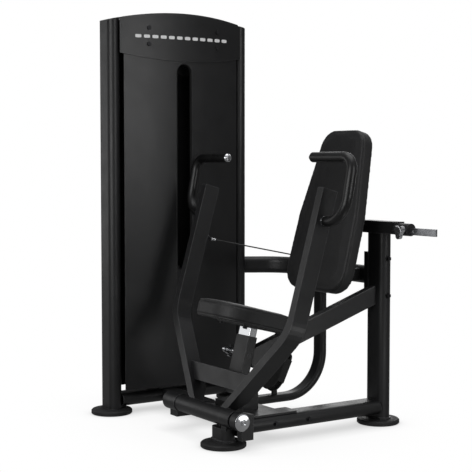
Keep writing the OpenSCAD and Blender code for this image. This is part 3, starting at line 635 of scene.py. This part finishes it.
def subdivided(mesh):
    obj = bpy.data.objects.new("pad_fine", mesh)
    bpy.context.scene.collection.objects.link(obj)
    fine = obj.modifiers.new("fine", "SUBSURF")
    fine.levels = fine.render_levels = 1
    result = applied(obj)
    bpy.data.objects.remove(obj)
    return result


def vertex_normals(mesh):
    values = np.zeros(len(mesh.vertices) * 3)
    mesh.vertices.foreach_get("normal", values)
    return values.reshape(-1, 3)


def pad_layers(shape, crown):
    """Outlines of the uncovered foam block from the board up to its broken front edge."""
    margin = 0.0015
    front = shape.high - crown
    return [
        (shape.inset(margin + 0.003), shape.low),
        (shape.inset(margin + 0.0005), shape.low + 0.004),
        (shape.inset(margin), shape.low + 0.010),
        (shape.inset(margin), front - 0.006),
        (shape.inset(margin + 0.0015), front - 0.002),
        (shape.inset(margin + 0.005), front),
    ], margin


def kept_inside(local, shape):
    """Draws points that swelled out of the pad's own space most of the way back to its limits."""
    drawn_back = 0.9
    over = np.maximum(local[:, 2] - shape.high, 0)
    local[:, 2] -= over * drawn_back
    wide = np.maximum(-shape.depth(local[:, :2]), 0)
    outward = local - np.append(shape.middle, 0)
    outward[:, 2] = 0
    outward /= np.maximum(np.linalg.norm(outward, axis=1), 1e-6)[:, None]
    local -= outward * (wide * drawn_back)[:, None]
    return local


def sewn(local, normals, shape, front, seams):
    """Pulls a groove in along each seam and adds short soft ripples that die out away from it."""
    ripple_reach, ripple_height = 0.011, 0.00015
    sideways = np.clip((1 - np.abs(normals[:, 2])) * 2.2, 0, 1)
    push = np.zeros(len(local))
    for seam in seams:
        gap = (local[:, 2] - (front - seam)) / GROOVE_HALF_WIDTH
        push += GROOVE_DEPTH * np.exp(-gap * gap) * sideways
    local -= normals * push[:, None]
    angle = np.arctan2(local[:, 1] - shape.middle[1], local[:, 0] - shape.middle[0])
    ripple = np.sin(angle * 61) * np.sin(angle * 23 + 1.3)
    for seam in seams:
        gap = (local[:, 2] - (front - seam)) / ripple_reach
        local += normals * (ripple_height * ripple * np.exp(-gap * gap) * sideways)[:, None]
    return local


def cushion(name, node, turn, body, pressure, crown, seams):
    """Padded form in the space of a node. Seams are distances behind the front face of the sewn grooves."""
    shape = PadShape(node, turn)
    inverse = np.array(shape.frame.inverted().to_3x3(), float)
    back = np.linalg.inv(inverse).T
    front = shape.high - crown
    layers, margin = pad_layers(shape, crown)
    mesh = remeshed(closed_stack(layers, shape.middle, shape.frame), VOXEL)
    local = coordinates(mesh) @ inverse.T
    held = np.where(local[:, 2] < shape.low + 0.003, 1.0, 0.0)
    near_side = shape.depth(local[:, :2]) < margin + 0.008
    for seam in seams:
        close = np.abs(local[:, 2] - (front - seam)) < 0.6 * VOXEL
        held = np.maximum(held, np.where(close & near_side, 0.75, 0.0))
    mesh = inflated(mesh, held, pressure, 0.006)
    set_coordinates(mesh, kept_inside(coordinates(mesh) @ inverse.T, shape) @ back)
    mesh = subdivided(mesh)
    local = coordinates(mesh) @ inverse.T
    normals = vertex_normals(mesh) @ inverse.T
    set_coordinates(mesh, sewn(local, normals, shape, front, seams) @ back)
    obj = piece(name, mesh, "vinyl", body)
    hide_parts(node)
    stitch_line(name + "_stitches", obj, shape, crown, seams, body)
    return shape


def stitch_line(name, pad, shape, crown, seams, body):
    """A thread stitch every few millimetres on the cover, just off each seam."""
    tree = BVHTree.FromObject(pad, bpy.context.evaluated_depsgraph_get())
    ring = shape.outline
    turned = shape.frame.to_3x3()
    clear = 0.05
    bm = bmesh.new()
    for seam, side in zip(seams, (-1, 1)):
        level = shape.high - crown - seam + side * STITCH_OFFSET
        for i in range(0, len(ring) - 1):
            ends = []
            for t in (0.18, 0.82):
                x, y = ring[i] * (1 - t) + ring[i + 1] * t
                away = Vector((x, y, 0)).normalized()
                outside = Vector((x + shape.middle[0], y + shape.middle[1], level)) + away * clear
                hit = tree.ray_cast(shape.frame @ outside, turned @ -away, 0.12)
                if hit[0]:
                    ends.append((hit[0], hit[1]))
            if len(ends) == 2:
                stitch(bm, ends[0][0], ends[1][0], ends[0][1] + ends[1][1])
    piece(name, bm, "vinyl", body)


def stitch(bm, start, end, up):
    """One thread: a small arched strand half sunk in the cover."""
    up = up.normalized()
    run = end - start
    across = run.cross(up).normalized()
    sunk, raised = (-0.0004, 0.00025), (0.00025, 0.00045)
    rings = []
    for t, (lift, size) in ((0.0, sunk), (0.3, raised), (0.7, raised), (1.0, sunk)):
        middle = start + run * t + up * lift
        ring = []
        for i in range(6):
            a = math.pi / 3 * i
            ring.append(bm.verts.new(middle + across * size * math.cos(a) + up * size * math.sin(a)))
        rings.append(ring)
    for low, high in zip(rings, rings[1:]):
        for i in range(6):
            bm.faces.new([low[i], low[(i + 1) % 6], high[(i + 1) % 6], high[i]])
    bm.faces.new(list(reversed(rings[0])))
    bm.faces.new(rings[-1])


# ---- Small parts ----


def seat_bolts(shape):
    """Four bolts up through the seat's carrier plate."""
    plate_t = 0.005
    across = 0.073
    front_edge = shape.middle[1] - np.ptp(shape.outline[:, 1]) / 2
    upside_down = Matrix.Rotation(math.pi, 4, "X")
    bm = bmesh.new()
    for x in (-across, across):
        for along in (0.120, 0.259):
            spot = Matrix.Translation((x + shape.middle[0], front_edge + along, shape.low - plate_t))
            hex_head(bm, shape.frame @ spot @ upside_down, 0.013, 0.0085)
    piece("seat_bolts", bm, "black_steel", "seat")


def cable_piece(name, node, moving_low):
    """Straight cable that stretches between two bodies; with only its two end rings it stays straight."""
    moving, fixed = sorted(rod_ends(node), key=moving_low)
    place = aim(fixed, moving)
    lobes, steps = 7, 6
    core, bulge = 0.00235, 0.00015
    bm = bmesh.new()
    rings = []
    for height in (0.0, (moving - fixed).length):
        ring = []
        for i in range(lobes * steps):
            a = 2 * math.pi * i / (lobes * steps)
            radius = core + bulge * abs(math.cos(a * lobes / 2))
            ring.append(bm.verts.new(place @ Vector((radius * math.cos(a), radius * math.sin(a), height))))
        rings.append(ring)
    for i in range(len(rings[0])):
        j = (i + 1) % len(rings[0])
        bm.faces.new([rings[0][i], rings[0][j], rings[1][j], rings[1][i]])
    bm.faces.new(list(reversed(rings[0])))
    bm.faces.new(rings[1])
    obj = piece(name, bm, "cable")
    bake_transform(obj)
    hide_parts(node)
    return fixed, moving


def swage(name, at, towards, body, ball):
    """Crimped sleeve on a cable's end, with a ball where it hooks on."""
    place = aim(at, towards)
    sleeve, crimp, pitch, crimps = 0.0048, 0.0041, 0.0046, 3
    bm = bmesh.new()
    profile = [(0, -0.001), (sleeve - 0.0006, -0.001), (sleeve, 0.0)]
    for i in range(crimps):
        z = 0.001 + i * pitch
        profile += [(sleeve, z), (sleeve, z + 0.0024), (crimp, z + 0.0031), (crimp, z + 0.0039)]
    profile += [(sleeve, 0.0154), (sleeve - 0.0005, 0.0170), (0.0028, 0.0178), (0, 0.0178)]
    lathe(bm, profile, place, 28)
    if ball:
        ball_r, steps = 0.0066, 14
        turned = []
        for i in range(steps + 1):
            a = math.pi * i / steps
            turned.append((ball_r * math.sin(a), -ball_r * math.cos(a)))
        turned[0], turned[-1] = (0, turned[0][1]), (0, turned[-1][1])
        lathe(bm, turned, place, 28)
    piece(name, bm, "chrome", body)


def header_dashes():
    """A row of plain dashes printed on the curved header."""
    low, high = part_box("header_panel")
    radius = 1.554
    axis_x = high.x - radius
    axis_y = (low.y + high.y) / 2
    count, dash, pitch, tall = 12, 0.024, 0.0342, 0.012
    first = axis_y - 0.2055
    level = high.z - 0.089
    steps, rounded_end = 5, 0.0015
    bm = bmesh.new()
    for k in range(count):
        y0 = first + k * pitch
        outer, inner = [], []
        for layer, lift in ((outer, 0.0005), (inner, -0.0003)):
            for step in range(steps + 1):
                y = y0 + dash * step / steps
                half = tall / 2 - (rounded_end if step in (0, steps) else 0.0)
                x = axis_x + (radius + lift) * math.cos(math.asin((y - axis_y) / radius))
                layer.append((bm.verts.new((x, y, level - half)), bm.verts.new((x, y, level + half))))
        for step in range(steps):
            a, b = outer[step], outer[step + 1]
            c, d = inner[step], inner[step + 1]
            bm.faces.new([a[0], b[0], b[1], a[1]])
            bm.faces.new([c[1], d[1], d[0], c[0]])
            bm.faces.new([a[1], b[1], d[1], c[1]])
            bm.faces.new([c[0], d[0], b[0], a[0]])
        for step, order in ((0, 1), (steps, -1)):
            a, c = outer[step], inner[step]
            bm.faces.new([c[0], a[0], a[1], c[1]][::order])
    bmesh.ops.recalc_face_normals(bm, faces=bm.faces)
    piece("header_dashes", bm, "print", "frame")


# ---- Floor, light and camera ----


def studio():
    """White surround for the camera and a soft, darker one for reflections."""
    world = bpy.data.worlds.new("studio")
    bpy.context.scene.world = world
    world.use_nodes = True
    tree = world.node_tree
    tree.nodes.clear()
    make = tree.nodes.new
    link = tree.links.new
    ray, coords = make("ShaderNodeLightPath"), make("ShaderNodeTexCoord")
    split, ramp = make("ShaderNodeSeparateXYZ"), make("ShaderNodeValToRGB")
    glow, white = make("ShaderNodeBackground"), make("ShaderNodeBackground")
    mix, out = make("ShaderNodeMixShader"), make("ShaderNodeOutputWorld")
    link(coords.outputs["Generated"], split.inputs[0])
    link(split.outputs["Z"], ramp.inputs["Fac"])
    stops = ramp.color_ramp.elements
    stops[0].position, stops[0].color = 0.0, (0.10, 0.10, 0.10, 1)
    stops[1].position, stops[1].color = 1.0, (0.5, 0.5, 0.51, 1)
    stops.new(0.35).color = (0.18, 0.18, 0.183, 1)
    glow.inputs["Strength"].default_value = 1.0
    link(ramp.outputs["Color"], glow.inputs["Color"])
    white.inputs["Color"].default_value = (1, 1, 1, 1)
    link(ray.outputs["Is Camera Ray"], mix.inputs["Fac"])
    link(glow.outputs[0], mix.inputs[1])
    link(white.outputs[0], mix.inputs[2])
    link(mix.outputs[0], out.inputs["Surface"])


def floor_paint():
    """White to the camera, with painted contact shadows close to the machine; dim in reflections."""
    material = bpy.data.materials.new("floor")
    material.use_nodes = True
    tree = material.node_tree
    tree.nodes.clear()
    make = tree.nodes.new
    link = tree.links.new
    shade, tone = make("ShaderNodeMath"), make("ShaderNodeValToRGB")
    shade.operation = "MULTIPLY"
    # painted contact shadows: two ambient occlusion reaches darken the white close to the machine
    for index, (reach, darkest) in enumerate(((0.09, 0.62), (0.6, 0.84))):
        shadow, lift = make("ShaderNodeAmbientOcclusion"), make("ShaderNodeMapRange")
        shadow.inputs["Distance"].default_value = reach
        shadow.samples = 12
        lift.inputs["To Min"].default_value = darkest
        link(shadow.outputs["AO"], lift.inputs["Value"])
        link(lift.outputs[0], shade.inputs[index])
    stops = tone.color_ramp.elements
    stops[0].position, stops[0].color = 0.0, (0, 0, 0, 1)
    stops[1].position, stops[1].color = 0.985, (1, 1, 1, 1)
    link(shade.outputs[0], tone.inputs["Fac"])
    ray, mix = make("ShaderNodeLightPath"), make("ShaderNodeMixShader")
    dim, seen = make("ShaderNodeEmission"), make("ShaderNodeEmission")
    out = make("ShaderNodeOutputMaterial")
    dim.inputs["Color"].default_value = (0.22, 0.22, 0.22, 1)
    link(tone.outputs["Color"], seen.inputs["Color"])
    link(ray.outputs["Is Camera Ray"], mix.inputs["Fac"])
    link(dim.outputs[0], mix.inputs[1])
    link(seen.outputs[0], mix.inputs[2])
    link(mix.outputs[0], out.inputs["Surface"])
    return material


def floor():
    """White floor just under the foot discs; its paint darkens it near the machine as painted shadow."""
    half_size, drop = 9, 0.0004
    bm = bmesh.new()
    bmesh.ops.create_grid(bm, x_segments=8, y_segments=8, size=half_size)
    bmesh.ops.translate(bm, vec=(0, 0, -drop), verts=bm.verts)
    data = bpy.data.meshes.new("floor")
    bm.to_mesh(data)
    bm.free()
    data.materials.append(floor_paint())
    obj = bpy.data.objects.new("floor", data)
    bpy.context.scene.collection.objects.link(obj)


def softbox(name, place, target, size, power):
    """Rectangular light that the camera doesn't see; power in watts."""
    light = bpy.data.lights.new(name, "AREA")
    light.shape = "RECTANGLE"
    light.size, light.size_y = size
    light.energy = power
    obj = bpy.data.objects.new(name, light)
    obj.location = place
    obj.rotation_euler = (Vector(target) - Vector(place)).to_track_quat("-Z", "Y").to_euler()
    obj.visible_camera = False
    bpy.context.scene.collection.objects.link(obj)


def photo_camera():
    """Long lens at chest height, in front of the machine and to the seated user's left."""
    data = bpy.data.cameras.new("camera")
    data.lens = 90.53
    data.sensor_width = 36
    camera = bpy.data.objects.new("camera", data)
    bpy.context.scene.collection.objects.link(camera)
    pitch = math.radians(3.489)
    heading = (-0.8352, 0.5499)
    ahead = Vector((heading[0] * math.cos(pitch), heading[1] * math.cos(pitch), -math.sin(pitch)))
    camera.location = (3.4735, -2.415, 0.940)
    camera.rotation_euler = ahead.to_track_quat("-Z", "Y").to_euler()
    bpy.context.scene.camera = camera


# ---- Everything in its place ----

paint_frame()
soften_edges()
cushion("back_cushion", "back_pad", math.pi / 2 - PAD_LEAN, "frame", PAD_PRESSURE, PAD_CROWN, (0.008, 0.047))
seat = cushion("seat_cushion", "seat_pad", -PAD_LEAN, "seat", PAD_PRESSURE, PAD_CROWN, (0.008, 0.052))
seat_bolts(seat)
# the carriage's plate under the pad is painted, its post below that is plated
carriage_up = (0, math.sin(PAD_LEAN), math.cos(PAD_LEAN))
PAINTS["seat_carriage"] = part_plated("seat_carriage", carriage_up, seat.low - 0.0075)
paint(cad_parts["seat_carriage"], "seat_carriage")
lead, hook = cable_piece("press_cable", "drive_cable", lambda end: end.y)
swage("press_cable_end", hook, lead, "cable_run", True)
top, low_end = cable_piece("lift_cable", "stack_cable", lambda end: end.z)
swage("lift_cable_end", low_end, top, "stack", False)
header_dashes()

studio()
floor()
# each light: place, what it is aimed at, its width and height, watts
softbox("key", (0.9, -2.7, 1.3), (-0.2, 0.0, 0.6), (1.8, 1.8), 30)
softbox("overhead", (0.2, 0.2, 3.4), (0.0, 0.1, 0.0), (2.6, 2.6), 30)
softbox("fill", (3.6, 0.6, 1.5), (-0.2, 0.0, 0.8), (1.4, 1.8), 24)
softbox("shine", (-3.2, -2.4, 1.1), (0.1, 0.0, 0.4), (2.4, 1.8), 11)
softbox("rear", (-2.6, 2.8, 1.6), (0.0, 0.1, 0.6), (2.0, 2.0), 20)
softbox("card", (0.95, 0.12, 0.1), (0.3, -0.3, 0.1), (0.4, 0.18), 0.5)
photo_camera()
bpy.context.scene.view_settings.view_transform = "Standard"
